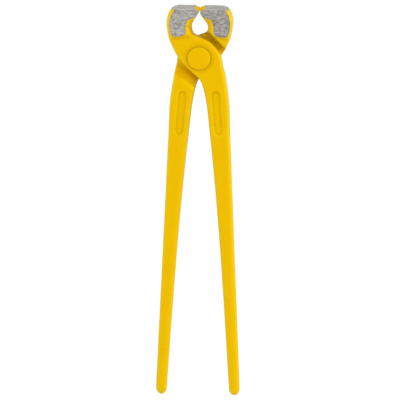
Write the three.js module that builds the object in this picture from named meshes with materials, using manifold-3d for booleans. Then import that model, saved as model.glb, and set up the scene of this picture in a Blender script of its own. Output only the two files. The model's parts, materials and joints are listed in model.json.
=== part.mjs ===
// Concreters' nippers: two alike forged levers, one turned over, crossing in a lap joint on a rivet.
// Millimetres, +Z up. The tool lies on its back and is closed, with its jaws towards +Y.
// The origin is on the pivot axis, in the plane that the tool lies on.

import * as THREE from 'three';
import { mergeVertices } from 'three/addons/utils/BufferGeometryUtils.js';
import Module from 'manifold-3d';

// Jaws, measured from the pivot axis and from the middle plane of the tool.
const JAW_TOP = 38;
const JAW_DEPTH = 21;
const HEAD_WIDTH = 49.8;
const BELLY_Y = 27.5;
const CHEEK_Y = 21;
const CHEEK_INSET = 0.5;
const PAD_END_Y = 16.8;
const PAD_END_INSET = 1.4;
const PAD_STEP_RUN = 2;
const PAD_STEP_INSET = 0.5;
const CORNER_WIDTH = 7.4;
const CORNER_INSET = 2;
const CORNER_DROP = 2.9;
const TOP_GRIND = 0.7;
const FACE_GRIND = 0.35;
const JAW_ROUND = 3.8;
const TOP_ROUND = 1.2;

// Cutting edges and throat.
const NOTCH_DEPTH = 2.3;
const NOTCH_HALF_WIDTH = 3.6;
const EDGE_LAND = 0.4;
const EDGE_GAP = 0.3;
const EDGE_ROUND = 0.4;
const THROAT_DROP = 12.7;
const THROAT_RADIUS = 6.45;
const THROAT_ROUND = 6;
const THROAT_PAD_ANGLE = 218;
const THROAT_STEP_ANGLE = 234;
const THROAT_FOOT_ANGLE = 265;

// Joint: the plates of the two levers lie on each other. Each turns in a recess in the back of the other
// lever. The recess ends in sloped steps: one by the neck, one by the handle's root, and one at the side of
// the root, where the other plate swings to when the jaws open.
const PLATE_FACE = 8.8;
const PLATE_ROUND = 2;
const LAP_GAP = 0.3;
const WAIST_X = 16.2;
const WAIST_Y = 0.3;
const NECK_OUT = 4.6;
const NECK_UP = 8.6;
const CHORD_OFFSET = 11.8;
const CHORD_HALF_LENGTH = 4.2;
const PLATE_RADIUS = 14.9;
const PLATE_HIGH_ANGLE = 58;
const PLATE_LOW_ANGLE = 30;
const SHOULDER_RADIUS = 16.5;
const SHOULDER_ANGLE = 5;
const HIP_X = 17.8;
const HIP_Y = -5.5;
const NECK_STEP_HEADING = 135;
const NECK_STEP_AWAY = 17.3;
const NECK_STEP_RUN = 3.2;
const ROOT_STEP_HEADING = -45;
const ROOT_STEP_AWAY = 12.7;
const ROOT_STEP_RUN = 11.5;
const SWING_STEP_HEADING = -66;
const SWING_STEP_AWAY = 13.2;
const SWING_STEP_RUN = 11.5;
const SHOULDER_FACE = 7.3;

// Rivet.
const HEAD_RADIUS = 8.6;
const HEAD_HEIGHT = 1.7;
const HEAD_ROUND = 0.9;
const SHANK_RADIUS = 5;
const SHANK_CLEARANCE = 0.1;
const HEAD_CLEARANCE = 0.2;

// Handles.
const HANDLE_REACH = 262;
const CROTCH_X = 0.7;
const CROTCH_Y = -17.2;
const THIGH_X = 2.8;
const THIGH_Y = -22.5;
const THIGH_OUTER_X = 19.5;
const THIGH_OUTER_Y = -15;
const THIGH_FACE = 7.7;
const ROOT_Y = -34.4;
const ROOT_OUTER_X = 22.3;
const END_OUTER_X = 32.1;
const END_WIDTH = 8.3;
const EVEN_TAPER = 4.3;
const ROOT_FLARE = 4.3;
const END_THICKNESS = 7.4;
const EVEN_THINNING = 2.6;
const ROOT_SWELL = 3.4;
const ROOT_ROUND = 2.3;
const END_ROUND = 3.5;
const TIP_LENGTH = 5.6;
const TIP_TURN = THREE.MathUtils.degToRad(78);

// Sunk panels on the handle faces.
const PANEL_WIDTH = 6.9;
const PANEL_LENGTH = 34.5;
const PANEL_MIDDLE_Y = -42.6;
const PANEL_INWARD = 0.7;
const PANEL_DEPTH = 0.8;
const PANEL_SLOPE = 0.5;

// Fineness of the faceted curves.
const CORNER_STEPS = 3;
const RUNG_STEPS = 3;
const TIP_STEPS = 4;
const HANDLE_SHARES = [0, 0.1, 0.22, 0.36, 0.55, 0.78, 1];
const ROUND_STEPS = 56;
const ROUND_LIMIT = 0.48;

const YELLOW = 0xefbd0c;

const CUT_Y = JAW_TOP - NOTCH_DEPTH;
const THROAT_Y = CUT_Y - THROAT_DROP;
const EDGE_X = EDGE_GAP / 2;
const HEAD_HALF = HEAD_WIDTH / 2;
const RAW_TOP = JAW_TOP + TOP_GRIND;
const RAW_FACE = JAW_DEPTH / 2 + FACE_GRIND;
const RIVET_HALF = PLATE_FACE + HEAD_CLEARANCE + HEAD_HEIGHT;
const MIDDLE_Z = Math.max(RIVET_HALF, JAW_DEPTH / 2);
const BEYOND = 4 * JAW_DEPTH;
const END_Y = TIP_LENGTH - HANDLE_REACH;

const wasm = await Module();
wasm.setup();

// A closed three.js geometry as a solid for cutting.
function solidOf(geometry) {
  const bare = geometry.clone();
  bare.deleteAttribute('normal');
  bare.deleteAttribute('uv');
  const merged = mergeVertices(bare, 1e-4);
  const corners = merged.index.array;
  const kept = [];
  for (let i = 0; i < corners.length; i += 3) {
    const [a, b, c] = [corners[i], corners[i + 1], corners[i + 2]];
    if (a !== b && b !== c && c !== a) kept.push(a, b, c);
  }
  const mesh = new wasm.Mesh({
    numProp: 3,
    vertProperties: merged.getAttribute('position').array,
    triVerts: new Uint32Array(kept),
  });
  return new wasm.Manifold(mesh);
}

// A cut solid as a three.js geometry with flat shading.
function geometryOf(solid) {
  const mesh = solid.getMesh();
  const geometry = new THREE.BufferGeometry();
  geometry.setAttribute('position', new THREE.BufferAttribute(mesh.vertProperties, 3));
  geometry.setIndex(new THREE.BufferAttribute(mesh.triVerts, 1));
  const flat = geometry.toNonIndexed();
  flat.computeVertexNormals();
  return flat;
}

function box(lowX, highX, lowY, highY, lowZ, highZ) {
  const geometry = new THREE.BoxGeometry(highX - lowX, highY - lowY, highZ - lowZ);
  return geometry.translate((lowX + highX) / 2, (lowY + highY) / 2, (lowZ + highZ) / 2);
}

// A profile of radius and height, turned about the pivot axis.
function turned(profile) {
  return new THREE.LatheGeometry(profile, ROUND_STEPS).rotateX(Math.PI / 2);
}

// A rung ties a point of the rail that starts at the notch to one of the rail that starts in the throat.
// It has the height of the front and back faces and the rounding of its edges on each rail.
function rung(outer, inner, front, back, outerRound, innerRound) {
  return { outer, inner, front, back, outerRound, innerRound };
}

function at(x, y) {
  return new THREE.Vector2(x, y);
}

function mix(from, to, share) {
  return from + (to - from) * share;
}

function polar(radius, degrees, centreY = 0) {
  const angle = THREE.MathUtils.degToRad(degrees);
  return at(radius * Math.cos(angle), centreY + radius * Math.sin(angle));
}

// The throat is a round hole with straight sides that run up to the cutting edge.
const throatSlope = Math.asin(THROAT_RADIUS / THROAT_DROP);
const bevelLength = THROAT_DROP * Math.cos(throatSlope);

function bevelPoint(share) {
  const along = bevelLength * share;
  return at(-EDGE_X - along * Math.sin(throatSlope), CUT_Y - along * Math.cos(throatSlope));
}

function throatPoint(degrees) {
  return polar(THROAT_RADIUS, degrees, THROAT_Y);
}

// Where the notch face, carried on, meets the unground top of the jaw.
const notchRun = (NOTCH_HALF_WIDTH - EDGE_X) / NOTCH_DEPTH;
const notchTopX = -EDGE_X - notchRun * (RAW_TOP - CUT_Y);

// The edge of a joint plate under the waist is a straight chord that faces down and outwards.
function chordPoint(along) {
  const away = CHORD_OFFSET * Math.SQRT1_2;
  const shift = along * CHORD_HALF_LENGTH * Math.SQRT1_2;
  return at(-away + shift, -away - shift);
}

// Top of a jaw: from the notch face to the rounded corner.
const topRungs = [
  rung(at(notchTopX, RAW_TOP), bevelPoint(1 / 3), RAW_FACE, -RAW_FACE, TOP_ROUND, EDGE_ROUND),
  rung(
    at((notchTopX + CORNER_WIDTH - HEAD_HALF) / 2, RAW_TOP),
    bevelPoint(2 / 3),
    RAW_FACE,
    -RAW_FACE,
    TOP_ROUND,
    THROAT_ROUND / 2,
  ),
];

// Cheek of a jaw: from the corner round the throat to the end of the ground pad.
const cheek = [
  at(CORNER_WIDTH - HEAD_HALF, RAW_TOP),
  at(CORNER_INSET - HEAD_HALF, JAW_TOP - CORNER_DROP),
  at(-HEAD_HALF, BELLY_Y),
  at(CHEEK_INSET - HEAD_HALF, CHEEK_Y),
  at(PAD_END_INSET - HEAD_HALF, PAD_END_Y),
];
const throatStart = 180 - THREE.MathUtils.radToDeg(throatSlope);
const cheekRungs = cheek.map((outer, i) => {
  const angle = mix(throatStart, THROAT_PAD_ANGLE, i / (cheek.length - 1));
  return rung(outer, throatPoint(angle), RAW_FACE, -RAW_FACE, JAW_ROUND, THROAT_ROUND);
});

// A rung across the joint plate; its back face is lower where the plate becomes the shoulder.
function plateRung(outer, inner, back) {
  return rung(outer, inner, PLATE_FACE, -back, PLATE_ROUND, PLATE_ROUND);
}

const jointRungs = [
  plateRung(
    at(PAD_END_INSET + PAD_STEP_INSET - HEAD_HALF, PAD_END_Y - PAD_STEP_RUN),
    throatPoint(THROAT_STEP_ANGLE),
    PLATE_FACE,
  ),
  plateRung(
    at(-WAIST_X - NECK_OUT, WAIST_Y + NECK_UP),
    throatPoint(THROAT_FOOT_ANGLE),
    PLATE_FACE,
  ),
  plateRung(at(-WAIST_X, WAIST_Y), polar(PLATE_RADIUS, PLATE_HIGH_ANGLE), SHOULDER_FACE),
  plateRung(chordPoint(-1), polar(PLATE_RADIUS, PLATE_LOW_ANGLE), SHOULDER_FACE),
  plateRung(chordPoint(1), polar(SHOULDER_RADIUS, SHOULDER_ANGLE), SHOULDER_FACE),
  plateRung(at(CROTCH_X, CROTCH_Y), at(HIP_X, HIP_Y), SHOULDER_FACE),
  rung(
    at(THIGH_X, THIGH_Y),
    at(THIGH_OUTER_X, THIGH_OUTER_Y),
    THIGH_FACE,
    -SHOULDER_FACE,
    PLATE_ROUND,
    PLATE_ROUND,
  ),
];

// A handle tapers from its root to the start of its rounded tip, and more so near the root.
// Its outer edge is straight.
function handleWidth(share) {
  const toEnd = 1 - share;
  return END_WIDTH + EVEN_TAPER * toEnd + ROOT_FLARE * toEnd ** 3;
}

function handleFace(share) {
  const toEnd = 1 - share;
  return (END_THICKNESS + EVEN_THINNING * toEnd + ROOT_SWELL * toEnd ** 3) / 2;
}

function handleOuterX(share) {
  return mix(ROOT_OUTER_X, END_OUTER_X, share);
}

function handleMiddleX(share) {
  return handleOuterX(share) - handleWidth(share) / 2;
}

function handleRung(share) {
  const y = mix(ROOT_Y, END_Y, share);
  const x = handleOuterX(share);
  const face = handleFace(share);
  const round = mix(ROOT_ROUND, END_ROUND, share);
  return rung(at(x - handleWidth(share), y), at(x, y), face, -face, round, round);
}

const handleRungs = HANDLE_SHARES.map(handleRung);

// The rounded tip draws the last handle section in to a small flat.
function tipRungs(last) {
  const middleX = (last.outer.x + last.inner.x) / 2;
  const steps = [];
  for (let step = 1; step <= TIP_STEPS; step += 1) {
    const angle = (step / TIP_STEPS) * TIP_TURN;
    const size = Math.cos(angle);
    const y = last.outer.y - (TIP_LENGTH * Math.sin(angle)) / Math.sin(TIP_TURN);
    const outer = at(mix(middleX, last.outer.x, size), y);
    const inner = at(mix(middleX, last.inner.x, size), y);
    const round = last.outerRound * size;
    steps.push(rung(outer, inner, last.front * size, last.back * size, round, round));
  }
  return steps;
}

// Smooth rungs between the given ones, with the same number between each two.
function smoothed(rungs) {
  const curve = (pick) => new THREE.CatmullRomCurve3(rungs.map(pick), false, 'centripetal');
  const outer = curve((r) => new THREE.Vector3(r.outer.x, r.outer.y, r.outerRound));
  const inner = curve((r) => new THREE.Vector3(r.inner.x, r.inner.y, r.innerRound));
  const count = (rungs.length - 1) * RUNG_STEPS;
  const result = [];
  for (let i = 0; i <= count; i += 1) {
    const o = outer.getPoint(i / count);
    const n = inner.getPoint(i / count);
    const low = Math.min(Math.floor(i / RUNG_STEPS), rungs.length - 2);
    const share = i / RUNG_STEPS - low;
    const front = mix(rungs[low].front, rungs[low + 1].front, share);
    const back = mix(rungs[low].back, rungs[low + 1].back, share);
    result.push(rung(at(o.x, o.y), at(n.x, n.y), front, back, o.z, n.z));
  }
  return result;
}

// The points round one rung: a rectangle across the lever, with rounded corners.
function section(r) {
  const width = r.outer.distanceTo(r.inner);
  const across = r.inner.clone().sub(r.outer).divideScalar(width);
  const limit = Math.min(width, r.front - r.back) * ROUND_LIMIT;
  const outerRound = Math.min(r.outerRound, limit);
  const innerRound = Math.min(r.innerRound, limit);
  const corners = [
    { u: outerRound, z: r.back + outerRound, round: outerRound, start: 180 },
    { u: width - innerRound, z: r.back + innerRound, round: innerRound, start: 270 },
    { u: width - innerRound, z: r.front - innerRound, round: innerRound, start: 0 },
    { u: outerRound, z: r.front - outerRound, round: outerRound, start: 90 },
  ];
  const points = [];
  for (const corner of corners) {
    for (let step = 0; step <= CORNER_STEPS; step += 1) {
      const turn = polar(corner.round, corner.start + (90 * step) / CORNER_STEPS);
      const u = corner.u + turn.x;
      points.push(new THREE.Vector3(
        r.outer.x + across.x * u,
        r.outer.y + across.y * u,
        corner.z + turn.y,
      ));
    }
  }
  return points;
}

// One closed skin over all the sections, with a flat cap at each end.
function skin(rungs) {
  const rings = rungs.map(section);
  const around = rings[0].length;
  const index = [];
  for (let i = 0; i + 1 < rings.length; i += 1) {
    for (let j = 0; j < around; j += 1) {
      const a = i * around + j;
      const b = i * around + ((j + 1) % around);
      index.push(a, b, a + around, b, b + around, a + around);
    }
  }
  const last = (rings.length - 1) * around;
  for (let j = 1; j + 1 < around; j += 1) {
    index.push(0, j + 1, j);
    index.push(last, last + j, last + j + 1);
  }
  const geometry = new THREE.BufferGeometry().setFromPoints(rings.flat());
  geometry.setIndex(index);
  return geometry;
}

const edgeRung = rung(
  at(-EDGE_X, CUT_Y + EDGE_LAND / 2),
  at(-EDGE_X, CUT_Y - EDGE_LAND / 2),
  RAW_FACE,
  -RAW_FACE,
  EDGE_LAND / 4,
  EDGE_LAND / 4,
);
const bodyRungs = smoothed([...topRungs, ...cheekRungs, ...jointRungs, ...handleRungs]);
const allRungs = [edgeRung, ...bodyRungs, ...tipRungs(handleRungs.at(-1))];

// The recess reaches from the bore to a step that lies at a heading from the pivot. Each step has its foot
// on the recess's floor and slopes outwards to the back of the lever.
function recess(heading, away, run) {
  const outline = new THREE.Shape([
    at(away, LAP_GAP / 2),
    at(-SHANK_RADIUS, LAP_GAP / 2),
    at(-SHANK_RADIUS, -BEYOND),
    at(away + run, -BEYOND),
    at(away + run, -RAW_FACE),
  ]);
  const cutter = new THREE.ExtrudeGeometry(outline, { depth: 2 * BEYOND, bevelEnabled: false });
  cutter.translate(0, 0, -BEYOND);
  cutter.rotateX(Math.PI / 2);
  return cutter.rotateZ(THREE.MathUtils.degToRad(heading));
}

const recesses = [
  recess(NECK_STEP_HEADING, NECK_STEP_AWAY, NECK_STEP_RUN),
  recess(ROOT_STEP_HEADING, ROOT_STEP_AWAY, ROOT_STEP_RUN),
  recess(SWING_STEP_HEADING, SWING_STEP_AWAY, SWING_STEP_RUN),
];

const bore = new THREE.CylinderGeometry(
  SHANK_RADIUS + SHANK_CLEARANCE,
  SHANK_RADIUS + SHANK_CLEARANCE,
  BEYOND,
  ROUND_STEPS,
).rotateX(Math.PI / 2);

// A sunk panel lies along the handle, a little inward of its middle, sloped like the face it is in.
function panel(side) {
  const half = PANEL_WIDTH / 2;
  const straight = PANEL_LENGTH / 2 - half;
  const outline = new THREE.Shape();
  outline.absarc(0, straight, half, 0, Math.PI, false);
  outline.absarc(0, -straight, half, Math.PI, 2 * Math.PI, false);
  outline.closePath();
  const share = (PANEL_MIDDLE_Y - ROOT_Y) / (END_Y - ROOT_Y);
  const low = (PANEL_MIDDLE_Y - straight - ROOT_Y) / (END_Y - ROOT_Y);
  const lean = (handleMiddleX(low) - handleMiddleX(share)) / straight;
  const fall = (handleFace(share) - handleFace(low)) / straight;
  const cutter = new THREE.ExtrudeGeometry(outline, {
    depth: JAW_DEPTH,
    curveSegments: ROUND_STEPS / 4,
    bevelThickness: PANEL_DEPTH,
    bevelSize: PANEL_SLOPE,
    bevelOffset: -PANEL_SLOPE,
    bevelSegments: 1,
  });
  cutter.translate(0, 0, handleFace(share));
  cutter.rotateX(Math.atan(fall));
  if (side < 0) cutter.rotateY(Math.PI);
  cutter.rotateZ(Math.atan(lean));
  cutter.translate(handleMiddleX(share) - PANEL_INWARD, PANEL_MIDDLE_Y, 0);
  return cutter;
}

const trims = [
  box(-BEYOND, BEYOND, JAW_TOP, BEYOND, -BEYOND, BEYOND),
  box(-BEYOND, BEYOND, 0, BEYOND, JAW_DEPTH / 2, BEYOND),
  box(-BEYOND, BEYOND, 0, BEYOND, -BEYOND, -JAW_DEPTH / 2),
];

let forging = solidOf(skin(allRungs));
for (const cutter of [...trims, ...recesses, bore, panel(1), panel(-1)]) {
  forging = forging.subtract(solidOf(cutter));
}
const leverGeometry = geometryOf(forging);

// Rivet: a shank with a flat, round-edged head at each end.
function headCorner(side) {
  const points = [];
  for (let step = 0; step <= CORNER_STEPS; step += 1) {
    const angle = (step / CORNER_STEPS) * (Math.PI / 2);
    const radius = HEAD_RADIUS - HEAD_ROUND + HEAD_ROUND * Math.sin(angle);
    const height = RIVET_HALF - HEAD_ROUND + HEAD_ROUND * Math.cos(angle);
    points.push(at(radius, side * height));
  }
  return points;
}

const seat = RIVET_HALF - HEAD_HEIGHT;
const rivetGeometry = turned([
  at(0, -RIVET_HALF),
  ...headCorner(-1),
  at(HEAD_RADIUS, -seat),
  at(SHANK_RADIUS, -seat),
  at(SHANK_RADIUS, seat),
  at(HEAD_RADIUS, seat),
  ...headCorner(1).reverse(),
  at(0, RIVET_HALF),
]);

function enamel() {
  return new THREE.MeshStandardMaterial({ color: YELLOW, roughness: 0.42, metalness: 0 });
}

function piece(name, geometry) {
  const mesh = new THREE.Mesh(geometry, enamel());
  mesh.name = name;
  mesh.position.z = MIDDLE_Z;
  return mesh;
}

const frontLever = piece('front_lever', leverGeometry);
const rearLever = piece('rear_lever', leverGeometry.clone());
rearLever.rotation.y = Math.PI;
const pivotRivet = piece('pivot_rivet', rivetGeometry);

const nippers = new THREE.Group();
nippers.name = 'concreters_nippers';
nippers.add(frontLever, rearLever, pivotRivet);

export default nippers;
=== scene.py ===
"""Looks of a pair of concreters' nippers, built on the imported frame.

Two alike drop forgings, one turned over, cross in a lap joint on a flat-headed rivet. All of it is
coated in yellow enamel, and then the jaws are ground bare on their fronts, backs and tops.
"""

import json
import logging
import math
from dataclasses import dataclass, field
from enum import Enum

import bmesh
import bpy
import numpy as np
from bmesh.types import BMEdge, BMesh, BMFace, BMVert
from bpy.types import ID, Material, Mesh, Node, NodeSocket, NodeTree, Object
from mathutils import Euler, Matrix, Vector, geometry, kdtree, noise


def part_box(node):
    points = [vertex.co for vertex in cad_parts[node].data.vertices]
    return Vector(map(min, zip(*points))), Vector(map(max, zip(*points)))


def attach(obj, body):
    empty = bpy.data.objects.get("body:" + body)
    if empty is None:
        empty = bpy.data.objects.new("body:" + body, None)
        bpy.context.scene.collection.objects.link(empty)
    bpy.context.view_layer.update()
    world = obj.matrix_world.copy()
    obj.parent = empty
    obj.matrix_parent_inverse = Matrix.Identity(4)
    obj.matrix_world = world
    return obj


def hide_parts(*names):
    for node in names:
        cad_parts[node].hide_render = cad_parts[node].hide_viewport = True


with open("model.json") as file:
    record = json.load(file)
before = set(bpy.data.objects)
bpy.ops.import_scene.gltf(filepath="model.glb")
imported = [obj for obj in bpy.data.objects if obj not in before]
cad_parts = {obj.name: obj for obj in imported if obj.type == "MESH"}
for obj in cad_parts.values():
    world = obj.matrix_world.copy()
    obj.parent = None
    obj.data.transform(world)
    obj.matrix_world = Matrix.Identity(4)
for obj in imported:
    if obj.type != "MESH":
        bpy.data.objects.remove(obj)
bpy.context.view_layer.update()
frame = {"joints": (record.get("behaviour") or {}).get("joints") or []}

MM = 0.001
LOG = logging.getLogger("nippers")
PIVOT = Vector(frame["joints"][0]["pos_m"])
LEVER_LOW, LEVER_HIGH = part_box("front_lever")
RIVET_LOW, RIVET_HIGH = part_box("pivot_rivet")
Triple = tuple[float, float, float]
Colour = tuple[float, float, float, float]
Inputs = dict[str | int, object]
WHITE: Colour = (1.0, 1.0, 1.0, 1.0)
# Lengths that differ by less than this are the same
SAME_LENGTH = 0.001 * MM
# Vertices of a spun solid that lie nearer than this are merged
MERGE_DISTANCE = 0.0005 * MM
# Vertices that lie nearer than this to a cut are on it
CUT_TOLERANCE = 0.0001 * MM
# Neighbours of a vertex in an even skin, which is a grid
GRID_NEIGHBOURS = 4


class Half(Enum):
    """The two halves of the tool, by the CAD body that each rides on."""

    FRONT = "front_half"
    REAR = "rear_half"


class Coat(Enum):
    """What covers a face, by its material slot on the piece."""

    ENAMEL = 0
    STEEL = 1


class Rounded(Enum):
    """What a rounding takes off."""

    EDGES = "EDGES"
    CORNERS = "VERTICES"


def rail_point(x: float, y: float, rounding: float) -> Vector:
    """Returns a point of a rail with the rounding of the forging's edges there."""
    return Vector((x, y, rounding))


def polar(radius: float, degrees: float, rounding: float, centre_y: float = 0.0) -> Vector:
    """Places a rail point on a circle.

    Args:
        radius: Radius of the circle.
        degrees: Angle from the X axis.
        rounding: Rounding of the edges there.
        centre_y: Y of the circle's centre, which lies on the Y axis.

    Returns:
        The rail point.
    """
    angle = math.radians(degrees)
    return rail_point(radius * math.cos(angle), centre_y + radius * math.sin(angle), rounding)


def mix(low: float, high: float, share: float) -> float:
    """Returns the value at a share of the way from low to high."""
    return low + (high - low) * share


def spline(points: list[Vector], steps: int) -> list[Vector]:
    """Runs a smooth curve through points.

    Args:
        points: What the curve passes through.
        steps: How many steps it takes between each two points.

    Returns:
        The points of the curve, from the first to the last given one.
    """
    held = [2 * points[0] - points[1], *points, 2 * points[-1] - points[-2]]
    curve: list[Vector] = []
    for a, b, c, d in zip(held, held[1:], held[2:], held[3:]):
        ab, bc, cd = (math.sqrt((end - start).length) for start, end in ((a, b), (b, c), (c, d)))
        leave = (b - a) / ab - (c - a) / (ab + bc) + (c - b) / bc
        arrive = (c - b) / bc - (d - b) / (bc + cd) + (d - c) / cd
        pull = bc / 3
        knots = (b, b + leave * pull, c - arrive * pull, c)
        curve += geometry.interpolate_bezier(*knots, steps + 1)[:-1]
    return [*curve, points[-1]]


def link_object(name: str, data: ID) -> Object:
    """Puts a mesh, a lamp or a camera in the scene at the origin.

    Args:
        name: Name of the object.
        data: What it shows.

    Returns:
        The object.
    """
    made = bpy.data.objects.new(name, data)
    bpy.context.scene.collection.objects.link(made)
    return made


def to_object(name: str, bm: BMesh) -> Object:
    """Turns a bmesh into an object and frees it.

    Args:
        name: Name of the object and its mesh.
        bm: The finished bmesh.

    Returns:
        The object.
    """
    mesh = bpy.data.meshes.new(name)
    bm.to_mesh(mesh)
    bm.free()
    return link_object(name, mesh)


def discard(made: Object) -> None:
    """Removes an object and its mesh.

    Args:
        made: The object.
    """
    mesh = made.data
    bpy.data.objects.remove(made)
    bpy.data.meshes.remove(mesh)


def block(size: Triple) -> BMesh:
    """Starts a solid as a block round the origin.

    Args:
        size: Its width, length and height.

    Returns:
        The solid.
    """
    bm = bmesh.new()
    bmesh.ops.create_cube(bm, size=1.0)
    bmesh.ops.scale(bm, vec=size, verts=bm.verts[:])
    return bm


def move(bm: BMesh, shift: Vector | Triple) -> None:
    """Moves all of a bmesh."""
    bmesh.ops.translate(bm, vec=shift, verts=bm.verts[:])


def turn(bm: BMesh, turned: Matrix) -> None:
    """Turns all of a bmesh about the origin."""
    bmesh.ops.rotate(bm, cent=(0.0, 0.0, 0.0), matrix=turned, verts=bm.verts[:])


def is_near(value: float, wanted: float) -> bool:
    """Returns whether two lengths are the same but for rounding errors."""
    return abs(value - wanted) < SAME_LENGTH


def spin_solid(bm: BMesh, steps: int) -> None:
    """Spins the profile in a bmesh about the Z axis into a closed solid.

    Args:
        bm: Holds the profile, which starts and ends on the axis.
        steps: Steps of the full turn.
    """
    bmesh.ops.spin(
        bm,
        geom=[*bm.verts, *bm.edges],
        cent=(0.0, 0.0, 0.0),
        axis=(0.0, 0.0, 1.0),
        angle=2 * math.pi,
        steps=steps,
        use_merge=True,
    )
    bmesh.ops.remove_doubles(bm, verts=bm.verts[:], dist=MERGE_DISTANCE)
    bmesh.ops.recalc_face_normals(bm, faces=bm.faces[:])


def round_off(
    bm: BMesh, what: Rounded, parts: list[BMEdge] | list[BMVert], offset: float, segments: int
) -> list[BMVert]:
    """Rounds edges of a solid, or corners of a flat face.

    Args:
        bm: What is rounded.
        what: Whether it is edges or corners.
        parts: The edges, or the vertices at the corners.
        offset: Distance from each of them at which the rounding starts.
        segments: Segments of the rounding.

    Returns:
        The vertices of the rounding.
    """
    return bmesh.ops.bevel(
        bm,
        geom=parts,
        offset=offset,
        offset_type="OFFSET",
        segments=segments,
        profile=0.5,
        affect=what.value,
        material=-1,
    )["verts"]


def smooth(bm: BMesh, verts: list[BMVert], rounds: int, axes: str, pull: float = 0.5) -> None:
    """Evens the places of vertices with those beside them.

    Args:
        bm: The solid.
        verts: The vertices.
        rounds: How often it is done.
        axes: The axes, of x, y and z, along which they may move.
        pull: How far each round takes a vertex towards the middle of those beside it.
    """
    for _ in range(rounds):
        bmesh.ops.smooth_vert(
            bm,
            verts=verts,
            factor=pull,
            use_axis_x="x" in axes,
            use_axis_y="y" in axes,
            use_axis_z="z" in axes,
        )


@dataclass(frozen=True)
class Rung:
    """A cross-section of a forging, between its two rails.

    Attributes:
        outer: Point of the rail that starts at the notch, with the rounding of its edges as Z.
        inner: Point of the rail that starts in the throat, with the rounding of its edges as Z.
        front: Height of the front face over the middle plane.
        back: Height of the back face, under zero.
        outer_share: Rounding of the back edge at the outer rail, as a share of the front one's.
        inner_share: Rounding of the back edge at the inner rail, as a share of the front one's.
    """

    outer: Vector
    inner: Vector
    front: float
    back: float
    outer_share: float = 1.0
    inner_share: float = 1.0

    def levels(self) -> tuple[float, float, float, float]:
        """Returns the values that change evenly from one cross-section to the next."""
        return self.front, self.back, self.outer_share, self.inner_share

    def placement(self) -> Matrix:
        """Works out where a unit square has to lie.

        Returns:
            The matrix that sets the square onto the cross-section.
        """
        across = Vector((*(self.inner - self.outer).xy, 0.0))
        upward = Vector((0.0, 0.0, self.front - self.back))
        placed = Matrix((across, upward, across.cross(upward).normalized())).transposed().to_4x4()
        middle = (self.outer + self.inner) / 2
        placed.translation = Vector((*middle.xy, (self.front + self.back) / 2))
        return placed

    def draw(self, bm: BMesh, segments: int, fullest: float) -> BMFace:
        """Draws the cross-section as a rectangle with rounded corners.

        Args:
            bm: Where to draw it.
            segments: Segments of each rounded corner.
            fullest: Most that a rounding may take of the shorter side.

        Returns:
            The face.
        """
        width = (self.inner - self.outer).xy.length
        limit = fullest * min(width, self.front - self.back)
        # A grid of half size 0.5 is the unit square
        square = bmesh.ops.create_grid(
            bm, x_segments=1, y_segments=1, size=0.5, matrix=self.placement()
        )
        corners = square["verts"]
        face = corners[0].link_faces[0]
        roundings = []
        for vert in corners:
            rounding, share = self.inner.z, self.inner_share
            if (vert.co - self.outer).xy.length < width / 2:
                rounding, share = self.outer.z, self.outer_share
            is_back = vert.co.z < (self.front + self.back) / 2
            roundings.append(min(rounding * share if is_back else rounding, limit))
        for vert, rounding in zip(corners, roundings):
            rounded = round_off(bm, Rounded.CORNERS, [vert], rounding, segments)
            face = rounded[0].link_faces[0]
        return face


@dataclass(frozen=True)
class Throat:
    """The wire hole behind the cutting edges: a round with straight sides up to the edge.

    Attributes:
        drop: From the cutting edge down to the middle of the round.
        radius: Radius of the round.
        rounding: Rounding of the jaw's front edges along the round.
        edge_rounding: The same by the cutting edge.
        back_share: Rounding of the back edges, as a share of the front ones'.
        pad_angle: Angle on the round, from the X axis, by the end of the ground pad.
        step_angle: Angle by the step under the pad.
        foot_angle: Angle at which the joint plate takes over.
    """

    drop: float = 12.7 * MM
    radius: float = 6.45 * MM
    rounding: float = 6.0 * MM
    edge_rounding: float = 0.4 * MM
    back_share: float = 1.15
    pad_angle: float = 221.0
    step_angle: float = 236.0
    foot_angle: float = 265.0

    @property
    def slope(self) -> float:
        """Angle of a straight side from the Y axis."""
        return math.asin(self.radius / self.drop)

    @property
    def side_length(self) -> float:
        """Length of a straight side."""
        return self.drop * math.cos(self.slope)


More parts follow.
